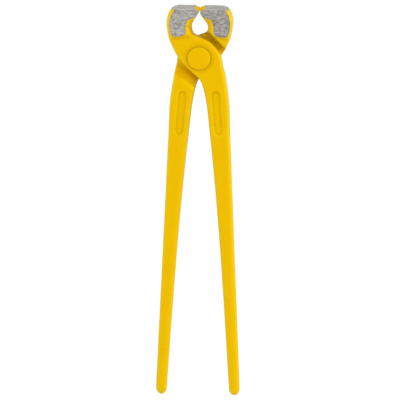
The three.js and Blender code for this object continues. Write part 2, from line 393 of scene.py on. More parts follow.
@dataclass(frozen=True)
class Jaw:
    """One jaw, from its cutting edge to the end of its ground pad."""

    top: float = LEVER_HIGH.y
    half_depth: float = (LEVER_HIGH.z - LEVER_LOW.z) / 2
    half_width: float = -LEVER_LOW.x
    # Outline of the cheek, with insets from its widest part
    belly_y: float = 27.5 * MM
    cheek_y: float = 21.0 * MM
    cheek_inset: float = 0.5 * MM
    pad_end_y: float = 15.9 * MM
    pad_end_inset: float = 1.5 * MM
    step_run: float = 2.0 * MM
    step_inset: float = 0.5 * MM
    corner_width: float = 7.4 * MM
    corner_inset: float = 2.0 * MM
    corner_drop: float = 2.9 * MM
    # Rounded edges of the raw forging
    rounding: float = 3.8 * MM
    back_share: float = 0.65
    corner_rounding: float = 1.6 * MM
    top_rounding: float = 1.2 * MM
    # Depth that grinding takes off, and the lean and distance from the pivot of the ground corner
    top_grind: float = 0.7 * MM
    face_grind: float = 0.35 * MM
    corner_lean: float = math.radians(18.0)
    corner_reach: float = 41.45 * MM
    # Painted light on each bare cut face, and how far the enamel of the notch is dulled
    front_light: float = 0.29
    back_light: float = 0.11
    top_light: float = 0.06
    corner_light: float = 0.07
    notch_dulling: float = 1.0
    # Cutting edge and the notch over it
    notch_depth: float = 2.3 * MM
    notch_half_width: float = 3.6 * MM
    edge_land: float = 1.0 * MM
    edge_gap: float = 0.06 * MM
    edge_spare: float = 1.5 * MM
    edge_skew: float = math.radians(3.6)
    # Lower corners of the ground pad, eased over shrinking rounds
    pad_corners: tuple[tuple[float, float], ...] = (
        (-21.5 * MM, 17.6 * MM),
        (-10.4 * MM, 18.4 * MM),
    )
    pad_ease: float = 3.4 * MM
    pad_reaches: tuple[float, ...] = (1.0, 0.85, 0.7)
    pad_rounds: int = 12
    throat: Throat = Throat()

    @property
    def cut_y(self) -> float:
        """Y of the cutting edge."""
        return self.top - self.notch_depth

    @property
    def edge_x(self) -> float:
        """X of the cutting edge, which stands off the middle by half the gap."""
        return -self.edge_gap / 2

    @property
    def raw_top(self) -> float:
        """Y of the top before it is ground."""
        return self.top + self.top_grind

    @property
    def raw_face(self) -> float:
        """Height of the front face before it is ground."""
        return self.half_depth + self.face_grind

    def side_point(self, along: float, rounding: float) -> Vector:
        """Places a rail point on the throat's straight side.

        Args:
            along: Distance down the side from the cutting edge.
            rounding: Rounding of the edges there.

        Returns:
            The rail point.
        """
        slope = self.throat.slope
        x = self.edge_x - along * math.sin(slope)
        return rail_point(x, self.cut_y - along * math.cos(slope), rounding)

    def throat_point(self, degrees: float, rounding: float) -> Vector:
        """Returns the rail point at an angle on the throat's round."""
        return polar(self.throat.radius, degrees, rounding, self.cut_y - self.throat.drop)

    def rung(self, outer: Vector, inner: Vector) -> Rung:
        """Returns a cross-section of the jaw at its full, unground depth."""
        shares = self.back_share, self.throat.back_share
        return Rung(outer, inner, self.raw_face, -self.raw_face, *shares)

    def first_rung(self) -> Rung:
        """Places the end of the forging past the cutting edge, which the cuts take off later.

        Returns:
            Its cross-section.
        """
        rounding = self.throat.edge_rounding
        outer = rail_point(self.edge_spare / 2, self.raw_top, rounding)
        return self.rung(outer, self.side_point(-self.edge_spare, rounding))

    def rungs(self) -> list[Rung]:
        """Lists the cross-sections from the notch to the end of the pad.

        Returns:
            The cross-sections.
        """
        throat, raw_top = self.throat, self.raw_top
        notch_run = (self.notch_half_width + self.edge_x) / self.notch_depth
        notch_x = self.edge_x - notch_run * (raw_top - self.cut_y)
        corner_x = self.corner_width - self.half_width
        cheek = [
            rail_point(corner_x, raw_top, self.corner_rounding),
            rail_point(
                self.corner_inset - self.half_width, self.top - self.corner_drop, self.rounding
            ),
            rail_point(-self.half_width, self.belly_y, self.rounding),
            rail_point(self.cheek_inset - self.half_width, self.cheek_y, self.rounding),
            rail_point(self.pad_end_inset - self.half_width, self.pad_end_y, self.rounding),
        ]
        # The first two end on the throat's straight side, a third and two thirds down it
        middle = self.side_point(throat.side_length * 2 / 3, throat.rounding / 2)
        found = [
            self.rung(
                rail_point(notch_x, raw_top, self.top_rounding),
                self.side_point(throat.side_length / 3, throat.edge_rounding),
            ),
            self.rung(rail_point((notch_x + corner_x) / 2, raw_top, self.top_rounding), middle),
        ]
        start = 180.0 - math.degrees(throat.slope)
        for place, outer in enumerate(cheek):
            angle = mix(start, throat.pad_angle, place / (len(cheek) - 1))
            found.append(self.rung(outer, self.throat_point(angle, throat.rounding)))
        return found


@dataclass(frozen=True)
class Handle:
    """One handle, from its root by the joint to its rounded tip."""

    # Outline: the width tapers evenly, and flares more towards the root
    reach: float = -LEVER_LOW.y
    root_y: float = -34.4 * MM
    root_outer_x: float = 22.3 * MM
    end_outer_x: float = LEVER_HIGH.x
    end_width: float = 8.3 * MM
    even_taper: float = 4.3 * MM
    root_flare: float = 4.3 * MM
    # Thickness, which grows towards the root in the same way
    end_thickness: float = 7.4 * MM
    even_thinning: float = 2.6 * MM
    root_swell: float = 3.4 * MM
    # Rounded edges and the rounded tip
    root_rounding: float = 2.3 * MM
    end_rounding: float = 3.5 * MM
    tip_length: float = 5.6 * MM
    tip_turn: float = math.radians(82.0)
    tip_steps: int = 10
    # Places of the cross-sections, as shares of the length
    shares: tuple[float, ...] = (0.0, 0.1, 0.22, 0.36, 0.55, 0.78, 1.0)

    @property
    def end_y(self) -> float:
        """Y at which the rounded tip starts."""
        return self.tip_length - self.reach

    def share_at(self, y: float) -> float:
        """Returns the share of the handle's length from its root to a Y."""
        return (y - self.root_y) / (self.end_y - self.root_y)

    def width(self, share: float) -> float:
        """Returns the handle's width at a share of its length."""
        left = 1.0 - share
        return self.end_width + self.even_taper * left + self.root_flare * left**3

    def face(self, share: float) -> float:
        """Returns the height of the handle's face at a share of its length."""
        left = 1.0 - share
        return (self.end_thickness + self.even_thinning * left + self.root_swell * left**3) / 2

    def middle_x(self, share: float) -> float:
        """Returns X of the handle's middle line at a share of its length."""
        return mix(self.root_outer_x, self.end_outer_x, share) - self.width(share) / 2

    def section(self, share: float, y: float, rounding: float, size: float = 1.0) -> Rung:
        """Draws a cross-section of the handle.

        Args:
            share: Share of the handle's length that its width and face are taken at.
            y: Y at which it lies.
            rounding: Rounding of its edges.
            size: How much of the width and the face it has.

        Returns:
            The cross-section.
        """
        middle, half = self.middle_x(share), self.width(share) / 2 * size
        face = self.face(share) * size
        outer = rail_point(middle - half, y, rounding)
        return Rung(outer, rail_point(middle + half, y, rounding), face, -face)

    def rungs(self) -> list[Rung]:
        """Lists the cross-sections from the root to the start of the tip.

        Returns:
            The cross-sections.
        """
        found = []
        for share in self.shares:
            y = mix(self.root_y, self.end_y, share)
            rounding = mix(self.root_rounding, self.end_rounding, share)
            found.append(self.section(share, y, rounding))
        return found

    def tip_rungs(self) -> list[Rung]:
        """Lists the cross-sections of the rounded tip, which draws in to a small flat.

        Returns:
            The cross-sections.
        """
        found = []
        for step in range(1, self.tip_steps + 1):
            angle = self.tip_turn * step / self.tip_steps
            size = math.cos(angle)
            y = self.end_y - self.tip_length * math.sin(angle) / math.sin(self.tip_turn)
            found.append(self.section(1.0, y, self.end_rounding * size, size))
        return found


@dataclass(frozen=True)
class Step:
    """A sloped step at which the recess in the back of a lever ends.

    Attributes:
        heading: The way that it lies from the pivot.
        away: Distance of its foot from the pivot.
        run: How far it slopes outwards, from the floor to the back of the jaw.
        fillet: Distance from its foot at which the floor starts to rise.
        ease: Distance past its foot over which it is eased into the skin.
    """

    heading: float
    away: float
    run: float
    fillet: float
    ease: float

    def past(self, place: Vector) -> float:
        """Returns how far a point lies past the foot."""
        return place.x * math.cos(self.heading) + place.y * math.sin(self.heading) - self.away


@dataclass(frozen=True)
class Joint:
    """The lap joint of one lever: its plate, its shoulders and the recess for the other plate."""

    # Heights of its faces over the middle plane, and the gap between the two plates
    plate_face: float = 8.8 * MM
    shoulder_face: float = 7.3 * MM
    thigh_face: float = 7.7 * MM
    lap_gap: float = 0.3 * MM
    # Outline, round the pivot from the jaw to the handle
    rounding: float = 2.0 * MM
    waist_x: float = 16.2 * MM
    waist_y: float = 0.3 * MM
    neck_out: float = 4.6 * MM
    neck_up: float = 8.6 * MM
    chord_offset: float = 11.8 * MM
    chord_half_length: float = 4.2 * MM
    plate_radius: float = 14.9 * MM
    plate_high_angle: float = 58.0
    plate_low_angle: float = 30.0
    shoulder_radius: float = 16.5 * MM
    shoulder_angle: float = 5.0
    hip: tuple[float, float] = (17.8 * MM, -5.5 * MM)
    fork: tuple[float, float] = (0.7 * MM, -17.2 * MM)
    thigh: tuple[float, float] = (2.8 * MM, -22.5 * MM)
    thigh_outer: tuple[float, float] = (19.5 * MM, -15.0 * MM)
    # Recess in the back, and how often its slopes are evened
    neck_step: Step = Step(
        heading=math.radians(135.0), away=17.3 * MM, run=3.2 * MM, fillet=2.8 * MM, ease=8.0 * MM
    )
    root_step: Step = Step(
        heading=math.radians(-45.0), away=12.7 * MM, run=11.5 * MM, fillet=1.2 * MM, ease=12.0 * MM
    )
    swing_step: Step = Step(
        heading=math.radians(-66.0), away=13.2 * MM, run=11.5 * MM, fillet=1.2 * MM, ease=12.0 * MM
    )
    neck_rounds: int = 60
    root_rounds: int = 60
    recess_length: float = 90.0 * MM
    fillet_segments: int = 8
    # Round the pivot: the milled plate, a ring of painted shade along the rivet's head, and the
    # bore
    milled_radius: float = 22.5 * MM
    seat_radius: float = (RIVET_HIGH.x - RIVET_LOW.x) / 2
    seat_width: float = 2.0 * MM
    seat_shade_bend: float = -0.45
    bore_radius: float = 5.1 * MM
    turns: int = 96

    def chord_point(self, end: int) -> Vector:
        """Places an end of the plate's straight edge under the waist, which runs at 45 degrees.

        Args:
            end: -1 for its upper end and 1 for its lower one.

        Returns:
            The rail point.
        """
        diagonal = math.sqrt(0.5)
        away = self.chord_offset * diagonal
        shift = end * self.chord_half_length * diagonal
        return rail_point(shift - away, -away - shift, self.rounding)

    def rungs(self, jaw: Jaw) -> list[Rung]:
        """Lists the cross-sections from the step under the pad to the handle's root.

        Args:
            jaw: The jaw that the plate grows out of.

        Returns:
            The cross-sections.
        """
        plate, back, rounding = self.plate_face, -self.shoulder_face, self.rounding
        step_x = jaw.pad_end_inset + jaw.step_inset - jaw.half_width
        step = rail_point(step_x, jaw.pad_end_y - jaw.step_run, rounding)
        neck = rail_point(-self.waist_x - self.neck_out, self.waist_y + self.neck_up, rounding)
        waist = rail_point(-self.waist_x, self.waist_y, rounding)
        high = polar(self.plate_radius, self.plate_high_angle, rounding)
        low = polar(self.plate_radius, self.plate_low_angle, rounding)
        shoulder = polar(self.shoulder_radius, self.shoulder_angle, rounding)
        fork, hip, thigh, outer = (
            rail_point(*place, rounding)
            for place in (self.fork, self.hip, self.thigh, self.thigh_outer)
        )
        return [
            Rung(step, jaw.throat_point(jaw.throat.step_angle, rounding), plate, -plate),
            Rung(neck, jaw.throat_point(jaw.throat.foot_angle, rounding), plate, -plate),
            Rung(waist, high, plate, back),
            Rung(self.chord_point(-1), low, plate, back),
            Rung(self.chord_point(1), shoulder, plate, back),
            Rung(fork, hip, plate, back),
            Rung(thigh, outer, self.thigh_face, back),
        ]

    def steps(self) -> tuple[Step, ...]:
        """Returns the steps at which the recess ends."""
        return self.neck_step, self.root_step, self.swing_step

    def recess_cutter(self, step: Step, deepest: float) -> Object:
        """Makes the solid that cuts the recess into the back of a lever, from the bore to a step.

        Args:
            step: The step.
            deepest: Depth of the jaw's back under the middle plane.

        Returns:
            The cutter.
        """
        floor = self.lap_gap / 2
        tall, wide = floor + deepest, step.away + self.bore_radius
        bm = block((wide, self.recess_length, tall))
        move(bm, (step.away - wide / 2, 0.0, floor - tall / 2))
        brim = [v for v in bm.verts if v.co.x > 0.0 and v.co.z < 0.0]
        bmesh.ops.translate(bm, vec=(step.run, 0.0, 0.0), verts=brim)
        foot = [
            edge
            for edge in bm.edges
            if all(is_near(v.co.x, step.away) and is_near(v.co.z, floor) for v in edge.verts)
        ]
        round_off(bm, Rounded.EDGES, foot, step.fillet, self.fillet_segments)
        turn(bm, Matrix.Rotation(step.heading, 3, "Z"))
        return to_object("recess_cutter", bm)

    def bore_cutter(self, depth: float) -> Object:
        """Makes the solid that bores the rivet hole.

        Args:
            depth: Length of the cutter.

        Returns:
            The cutter.
        """
        bm = bmesh.new()
        bmesh.ops.create_cone(
            bm,
            cap_ends=True,
            segments=self.turns,
            radius1=self.bore_radius,
            radius2=self.bore_radius,
            depth=depth,
        )
        return to_object("bore_cutter", bm)


@dataclass(frozen=True)
class Panel:
    """The sunk, round-ended panel in each face of a handle.

    Attributes:
        width: Across the handle.
        length: Along the handle, over the round ends.
        middle_y: Y of its middle.
        inward: How far it lies off the handle's middle line, towards the gap between the handles.
        depth: How deep it is sunk.
        slope: Rounding round its floor.
        clear: How far the cutter stands out of the face.
        end_fullness: Rounding of the ends, as a share of half the width.
        end_segments: Segments of each rounded corner at the ends.
        slope_segments: Segments of the rounding round the floor.
    """

    width: float = 6.9 * MM
    length: float = 34.5 * MM
    middle_y: float = -42.6 * MM
    inward: float = 0.7 * MM
    depth: float = 0.9 * MM
    slope: float = 0.5 * MM
    clear: float = 6.0 * MM
    end_fullness: float = 0.999
    end_segments: int = 12
    slope_segments: int = 3

    def cutter(self, handle: Handle, side: int) -> Object:
        """Makes the solid that sinks the panel into one face.

        Args:
            handle: The handle that the panel lies along.
            side: 1 for the front face and -1 for the back.

        Returns:
            The cutter.
        """
        run = self.length / 2
        share, low = handle.share_at(self.middle_y), handle.share_at(self.middle_y - run)
        lean = math.atan((handle.middle_x(low) - handle.middle_x(share)) / run)
        fall = math.atan((handle.face(share) - handle.face(low)) / run)
        tall = self.depth + self.clear
        bm = block((self.width, self.length, tall))
        upright = [e for e in bm.edges if is_near(abs(e.verts[0].co.z - e.verts[1].co.z), tall)]
        round_off(bm, Rounded.EDGES, upright, self.width / 2 * self.end_fullness, self.end_segments)
        floor = [e for e in bm.edges if all(is_near(v.co.z, -tall / 2) for v in e.verts)]
        round_off(bm, Rounded.EDGES, floor, self.slope, self.slope_segments)
        move(bm, (0.0, 0.0, handle.face(share) - self.depth + tall / 2))
        turn(bm, Euler((fall, math.pi if side < 0 else 0.0, lean)).to_matrix())
        move(bm, (handle.middle_x(share) - self.inward, self.middle_y, 0.0))
        return to_object("panel_cutter", bm)


@dataclass(frozen=True)
class Dent:
    """A small pit in a forging's skin.

    Attributes:
        place: Its middle, from the pivot.
        radius: How far it spreads.
        depth: How deep it is.
    """

    place: Vector
    radius: float
    depth: float


# The one pit that shows, beside the throat of the front forging
JAW_PIT = Dent(Vector((-8.3 * MM, 24.2 * MM, 9.2 * MM)), radius=0.7 * MM, depth=0.5 * MM)
# Where each forging's unevenness is read
FRONT_SEED, REAR_SEED = 3.0, 47.0


@dataclass(frozen=True)
class Skin:
    """How far a drop-forged skin strays from its true shape.

    Attributes:
        wave: Height of its broad unevenness.
        wave_size: Length of that.
        ripple: Height of its fine unevenness.
        ripple_size: Length of that.
        flash: Height of the parting line, where the halves of the die met.
        flash_width: Half its width.
        flash_size: Length of its unevenness.
        flash_left: Mean share of the line that trimming left.
        flash_uneven: How far that share strays.
        flash_fade: How soon the line fades where the skin leans to the front or back.
        lap_zone: Height within which the flat faces of the lap joint stay true.
        lap_facing: Least upright part of the normal of such a face.
    """

    wave: float = 0.05 * MM
    wave_size: float = 13.0 * MM
    ripple: float = 0.02 * MM
    ripple_size: float = 4.0 * MM
    flash: float = 0.12 * MM
    flash_width: float = 0.6 * MM
    flash_size: float = 5.0 * MM
    flash_left: float = 0.6
    flash_uneven: float = 0.4
    flash_fade: float = 2.0
    lap_zone: float = 1.0 * MM
    lap_facing: float = 0.7

    def shift(self, place: Vector, normal: Vector, clear: float, seed: float) -> float:
        """Works out how far the skin stands out at a point.

        Args:
            place: The point, from the pivot.
            normal: The way that the skin faces there.
            clear: Distance from the pivot axis inside which the parting line was milled off.
            seed: Where the unevenness is read, different on each forging.

        Returns:
            The distance along the normal.
        """
        if abs(place.z) < self.lap_zone and abs(normal.z) > self.lap_facing:
            return 0.0
        origin = Vector((seed, 0.0, 0.0))
        out = self.wave * noise.noise(place / self.wave_size + origin)
        out += self.ripple * noise.noise(place / self.ripple_size + origin)
        if place.xy.length > clear:
            stray = noise.noise(place / self.flash_size + origin)
            trim = self.flash_left + self.flash_uneven * stray
            sideways = max(0.0, 1.0 - self.flash_fade * abs(normal.z))
            out += self.flash * trim * sideways * math.exp(-((place.z / self.flash_width) ** 2))
        return out


@dataclass(frozen=True)
class Cut:
    """A flat face cut off a forging after it is coated.

    Attributes:
        point: A point of the face, from the pivot.
        normal: The way that the face looks.
        coat: What covers the face.
        from_y: Only what lies past this Y is cut.
        light_and_dulling: Painted light on a bare face, which makes the steel lighter; on enamel,
            how far its gloss and its painted sheen are dulled.
    """

    point: Vector
    normal: Vector
    coat: Coat
    from_y: float
    light_and_dulling: float = 0.0


def vertex_places(mesh: Mesh) -> np.ndarray:
    """Reads where the vertices of a mesh are.

    Args:
        mesh: The mesh.

    Returns:
        A row of X, Y and Z for each vertex.
    """
    places = np.empty(len(mesh.vertices) * 3, np.float32)
    mesh.vertices.foreach_get("co", places)
    return places.reshape(-1, 3)


def bends(mesh: Mesh, spacing: float, rounds: int) -> np.ndarray:
    """Measures how sharply a skin turns at each vertex.

    Args:
        mesh: The skin.
        spacing: About how far apart its vertices are.
        rounds: How often the bends are evened with those beside them.

    Returns:
        The bend in 1 per millimetre at each vertex, over zero on edges and under it in hollows.
    """
    count, places = len(mesh.vertices), vertex_places(mesh)
    normals = np.empty(count * 3, np.float32)
    mesh.vertex_normals.foreach_get("vector", normals)
    ends = np.empty(len(mesh.edges) * 2, np.int32)
    mesh.edges.foreach_get("vertices", ends)
    start, end = ends.reshape(-1, 2).T
    neighbours = np.bincount(ends, minlength=count)

    def average(values: np.ndarray) -> np.ndarray:
        """Returns the mean of each vertex's neighbours."""
        total = np.bincount(start, values[end], count) + np.bincount(end, values[start], count)
        return total / np.maximum(neighbours, 1)

    around = np.stack([average(places[:, axis]) for axis in range(3)], axis=1)
    proud = ((places - around) * normals.reshape(-1, 3)).sum(axis=1)
    bend = proud * GRID_NEIGHBOURS / spacing**2 * MM
    for _ in range(rounds):
        bend = (bend + average(bend)) / 2
    return bend


class SubAssembly:
    """What the sub-assemblies share: how a finished piece is dressed."""

    def dress(self, piece: Object, body: str, node: str, finishes: list[Material]) -> None:
        """Gives a piece its finishes and ties it to its CAD body.

        Args:
            piece: The piece.
            body: The body that it rides on.
            node: The CAD node that it stands for.
            finishes: Its materials, by slot.
        """
        for finish in finishes:
            piece.data.materials.append(finish)
        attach(piece, body)
        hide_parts(node)


@dataclass
class LeverForging(SubAssembly):
    """One lever: a jaw, a joint plate and the opposite handle in one forging.

    Attributes:
        jaw: Its jaw.
        joint: Its half of the lap joint.
        handle: Its handle.
        panel: The panel in each face of the handle.
        skin: Its forged skin.
        rung_steps: Steps of the blank from one given cross-section to the next.
        corner_segments: Segments of each rounded corner of a cross-section.
        fullest_rounding: Most that a rounding may take of a cross-section's shorter side.
        grain: Size of the skin's faces.
        smoothings: How often the carved skin is smoothed.
        facing: Least upright part of the normal on a front or back face.
        bend_rounds: How often the skin's bends are evened.
        cap_grain: Longest inner edge that a cut face keeps.
        cap_rounds: Most rounds in which longer ones are split.
        rim_width: Width of the marked band along the rim of a cut face.
        glint_angle: Least angle between bare faces along which the steel gets a painted glint.
    """

    jaw: Jaw = field(default_factory=Jaw)
    joint: Joint = field(default_factory=Joint)
    handle: Handle = field(default_factory=Handle)
    panel: Panel = field(default_factory=Panel)
    skin: Skin = field(default_factory=Skin)
    rung_steps: int = 10
    corner_segments: int = 6
    fullest_rounding: float = 0.48
    grain: float = 0.48 * MM
    smoothings: int = 5
    facing: float = 0.2
    bend_rounds: int = 4
    cap_grain: float = 1.2 * MM
    cap_rounds: int = 6
    rim_width: float = 0.9 * MM
    glint_angle: float = math.radians(45.0)

    def rungs(self) -> list[Rung]:
        """Lists the cross-sections of the whole forging, from its cutting edge to its tip.

        Returns:
            The cross-sections.
        """
        given = [*self.jaw.rungs(), *self.joint.rungs(self.jaw), *self.handle.rungs()]
        outer = spline([rung.outer for rung in given], self.rung_steps)
        inner = spline([rung.inner for rung in given], self.rung_steps)
        found = [self.jaw.first_rung()]
        for step, (out, within) in enumerate(zip(outer, inner)):
            low = min(step // self.rung_steps, len(given) - 2)
            share = step / self.rung_steps - low
            ends = zip(given[low].levels(), given[low + 1].levels())
            found.append(Rung(out, within, *(mix(start, end, share) for start, end in ends)))
        return [*found, *self.handle.tip_rungs()]

    def blank(self) -> Object:
        """Bridges the cross-sections into the blank that the recess and panels are cut from.

        Returns:
            The blank.
        """
        bm = bmesh.new()
        rungs = self.rungs()
        ring: list[BMEdge] = []
        for place, rung in enumerate(rungs):
            face = rung.draw(bm, self.corner_segments, self.fullest_rounding)
            edges = list(face.edges)
            if 0 < place < len(rungs) - 1:
                bmesh.ops.delete(bm, geom=[face], context="FACES_ONLY")
            if ring:
                bmesh.ops.bridge_loops(bm, edges=[*ring, *edges])
            ring = edges
        bmesh.ops.recalc_face_normals(bm, faces=bm.faces[:])
        return to_object("lever_blank", bm)

    def carve(self) -> Mesh:
        """Cuts the recess, the bore and the panels, and softens the skin.

        Returns:
            The mesh of the bare forging, in small even faces.
        """
        joint, blank = self.joint, self.blank()
        cutters = [
            *(joint.recess_cutter(step, self.jaw.raw_face) for step in joint.steps()),
            # Twice as long as the jaw is deep, so that it goes right through
            joint.bore_cutter(4 * self.jaw.half_depth),
            *(self.panel.cutter(self.handle, side) for side in (1, -1)),
        ]
        for cutter in cutters:
            cutting = blank.modifiers.new(cutter.name, "BOOLEAN")
            cutting.operation = "DIFFERENCE"
            cutting.solver = "EXACT"
            cutting.object = cutter
        even = blank.modifiers.new("even_skin", "REMESH")
        even.mode = "VOXEL"
        even.voxel_size = self.grain
        shown = bpy.context.evaluated_depsgraph_get()
        carved = bpy.data.meshes.new_from_object(blank.evaluated_get(shown))
        for spent in (blank, *cutters):
            discard(spent)
        bm = bmesh.new()
        bm.from_mesh(carved)
        smooth(bm, bm.verts[:], self.smoothings, "xyz")
        self.soften(bm)
        bm.to_mesh(carved)
        bm.free()
        return carved

    def soften(self, bm: BMesh) -> None:
        """Eases the ends of the recess and rounds the pads' lower corners.

        Only heights change, so that the outline keeps its shape.

        Args:
            bm: The forging.
        """
        joint, jaw = self.joint, self.jaw
        bm.normal_update()
        lap = [
            v
            for v in bm.verts
            if v.co.y < jaw.pad_end_y - jaw.step_run
            and v.co.z < joint.lap_gap
            and v.normal.z < -self.facing
        ]
        for steps, rounds in (
            ((joint.neck_step,), joint.neck_rounds),
            ((joint.root_step, joint.swing_step), joint.root_rounds),
        ):
            sloped = []
            for vert in lap:
                past = [step.past(vert.co) for step in steps]
                if min(past) > 0.0 and min(p - step.ease for p, step in zip(past, steps)) < 0.0:
                    sloped.append(vert)
            smooth(bm, sloped, rounds, "z")
        pads = [
            v
            for v in bm.verts
            if abs(v.co.z) > joint.shoulder_face and abs(v.normal.z) > self.facing
        ]
        for corner in jaw.pad_corners:
            for reach in jaw.pad_reaches:
                near = [v for v in pads if (v.co.xy - Vector(corner)).length < jaw.pad_ease * reach]
                smooth(bm, near, jaw.pad_rounds, "z")

    def forge(self, carved: Mesh, dents: tuple[Dent, ...], seed: float) -> Mesh:
        """Gives the carved shape the unevenness of a forging.

        Args:
            carved: The mesh from carve, which stays as it is.
            dents: The pits in this forging.
            seed: Where its unevenness is read.

        Returns:
            The new mesh, with its bends in the attribute "edge".
        """
        bm = bmesh.new()
        bm.from_mesh(carved)
        bm.normal_update()
        clear = self.joint.milled_radius
        moves = []
        for vert in bm.verts:
            out = self.skin.shift(vert.co, vert.normal, clear, seed)
            for dent in dents:
                away = (vert.co - dent.place).length / dent.radius
                out -= dent.depth * math.exp(-away * away)
            moves.append(vert.normal * out)
        for vert, move in zip(bm.verts, moves):
            vert.co += move
        forged = bpy.data.meshes.new("forging")
        bm.to_mesh(forged)
        bm.free()
        edge = forged.attributes.new("edge", "FLOAT", "POINT")
        edge.data.foreach_set("value", self.bends_with_seat_shade(forged).astype(np.float32))
        return forged

    def bends_with_seat_shade(self, forged: Mesh) -> np.ndarray:
        """Measures the skin's bends, with a ring of painted shade along the rivet's head, written
        as a hollow.

        Args:
            forged: The forging's mesh.

        Returns:
            The bend at each vertex.
        """
        joint = self.joint
        x, y, z = vertex_places(forged).T
        away = (np.hypot(x, y) - joint.seat_radius) / joint.seat_width
        seat_shade = np.exp(-away * away) * (z > joint.shoulder_face)
        skin = bends(forged, self.grain, self.bend_rounds)
        return skin * (1.0 - seat_shade) + joint.seat_shade_bend * seat_shade

    def cuts(self) -> list[Cut]:
        """Lists the flat faces that are cut on the coated forging.

        Returns:
            The cuts, in order.
        """
        jaw = self.jaw
        ridge = Vector((jaw.edge_x, jaw.cut_y + jaw.edge_land / 2, 0.0))
        brow = Vector((-jaw.notch_half_width, jaw.top, 0.0))
        along = brow - ridge
        notch = Vector((along.y, -along.x, 0.0)).normalized()
        skew = Matrix.Rotation(jaw.edge_skew, 3, "Y")
        jaw_only = self.joint.neck_up
        edge_only = jaw.cut_y - jaw.notch_depth
        up, back = Vector((0.0, 0.0, jaw.half_depth)), Vector((0.0, 0.0, -jaw.half_depth))
        top = Vector((0.0, jaw.top, 0.0))
        corner = Matrix.Rotation(jaw.corner_lean, 3, "Z") @ Vector((0.0, jaw.corner_reach, 0.0))
        return [
            Cut(up, up.normalized(), Coat.STEEL, jaw_only, jaw.front_light),
            Cut(back, back.normalized(), Coat.STEEL, jaw_only, jaw.back_light),
            Cut(top, top.normalized(), Coat.STEEL, jaw_only, jaw.top_light),
            Cut(corner, corner.normalized(), Coat.STEEL, jaw_only, jaw.corner_light),
            Cut(ridge, skew @ notch, Coat.ENAMEL, edge_only, jaw.notch_dulling),
            Cut(ridge, skew @ Vector((1.0, 0.0, 0.0)), Coat.STEEL, edge_only),
        ]

    def make_cut(self, bm: BMesh, cut: Cut, mark: int) -> None:
        """Cuts one flat face and fills it.

        Args:
            bm: The forging.
            cut: The face to cut.
            mark: Number of the face, kept in the layer "cut".
        """
        layer = bm.faces.layers.int["cut"]
        light_and_dulling = bm.faces.layers.float["light_and_dulling"]
        near = [vert for vert in bm.verts if vert.co.y > cut.from_y]
        edges = {edge for vert in near for edge in vert.link_edges}
        faces = {face for vert in near for face in vert.link_faces}
        opened = bmesh.ops.bisect_plane(
            bm,
            geom=[*near, *edges, *faces],
            dist=CUT_TOLERANCE,
            plane_co=cut.point,
            plane_no=cut.normal,
            clear_outer=True,
        )
        rim = [part for part in opened["geom_cut"] if isinstance(part, BMEdge)]
        filled = bmesh.ops.triangle_fill(bm, edges=rim, use_beauty=True, normal=cut.normal)
        for part in filled["geom"]:
            if isinstance(part, BMFace):
                part[layer] = mark
                part[light_and_dulling] = cut.light_and_dulling
                part.material_index = cut.coat.value
                part.smooth = False

    def refine_cut(self, bm: BMesh, mark: int) -> None:
        """Splits the long inner edges of one flat face, so that it can fade towards its rim.

        Args:
            bm: The forging.
            mark: Number of the face in the layer "cut".
        """
        layer = bm.faces.layers.int["cut"]
        for _ in range(self.cap_rounds):
            cap = [face for face in bm.faces if face[layer] == mark]
            inner = {
                edge
                for face in cap
                for edge in face.edges
                if edge.calc_length() > self.cap_grain
                and all(other[layer] == mark for other in edge.link_faces)
            }
            if not inner:
                break
            bmesh.ops.subdivide_edges(bm, edges=list(inner), cuts=1)
            cap = [face for face in bm.faces if face[layer] == mark]
            bmesh.ops.triangulate(bm, faces=cap)

    def mark_rims(self, bm: BMesh) -> None:
        """Makes the rims of the cut faces sharp, and writes how near each vertex is to them.

        The attribute "rim" is over zero by the enamel, and "glint_edge" by another bare face, where
        the steel gets a painted glint.

        Args:
            bm: The forging.
        """
        layer = bm.faces.layers.int["cut"]
        rims: dict[str, list[BMEdge]] = {"rim": [], "glint_edge": []}
        for name in rims:
            bm.verts.layers.float.new(name)
        for edge in bm.edges:
            if len({face[layer] for face in edge.link_faces}) > 1:
                edge.smooth = False
                bare = all(face.material_index == Coat.STEEL.value for face in edge.link_faces)
                if not bare:
                    rims["rim"].append(edge)
                elif edge.calc_face_angle() > self.glint_angle:
                    rims["glint_edge"].append(edge)
        cut_verts = {vert for face in bm.faces if face[layer] for vert in face.verts}
        for name, edges in rims.items():
            nearness = bm.verts.layers.float[name]
            on_rim = sorted({vert for edge in edges for vert in edge.verts}, key=lambda v: v.index)
            tree = kdtree.KDTree(len(on_rim))
            for place, vert in enumerate(on_rim):
                tree.insert(vert.co, place)
            tree.balance()
            for vert in cut_verts:
                vert[nearness] = max(0.0, 1.0 - tree.find(vert.co)[2] / self.rim_width)

    def finish(self, forged: Mesh, name: str, half: Half) -> Object:
        """Grinds the coated forging and sets it in its place in the tool.

        Args:
            forged: The mesh from forge.
            name: Name of the piece.
            half: The half of the tool that it is; the rear forging is turned over.

        Returns:
            The piece.
        """
        bm = bmesh.new()
        bm.from_mesh(forged)
        bpy.data.meshes.remove(forged)
        bm.faces.layers.int.new("cut")
        bm.faces.layers.float.new("light_and_dulling")
        for face in bm.faces:
            face.smooth = True
        for mark, cut in enumerate(self.cuts(), start=1):
            self.make_cut(bm, cut, mark)
        for mark, cut in enumerate(self.cuts(), start=1):
            if cut.coat is Coat.STEEL:
                self.refine_cut(bm, mark)
        self.mark_rims(bm)
        if half is Half.REAR:
            turn(bm, Matrix.Rotation(math.pi, 3, "Y"))
        move(bm, PIVOT)
        return to_object(name, bm)


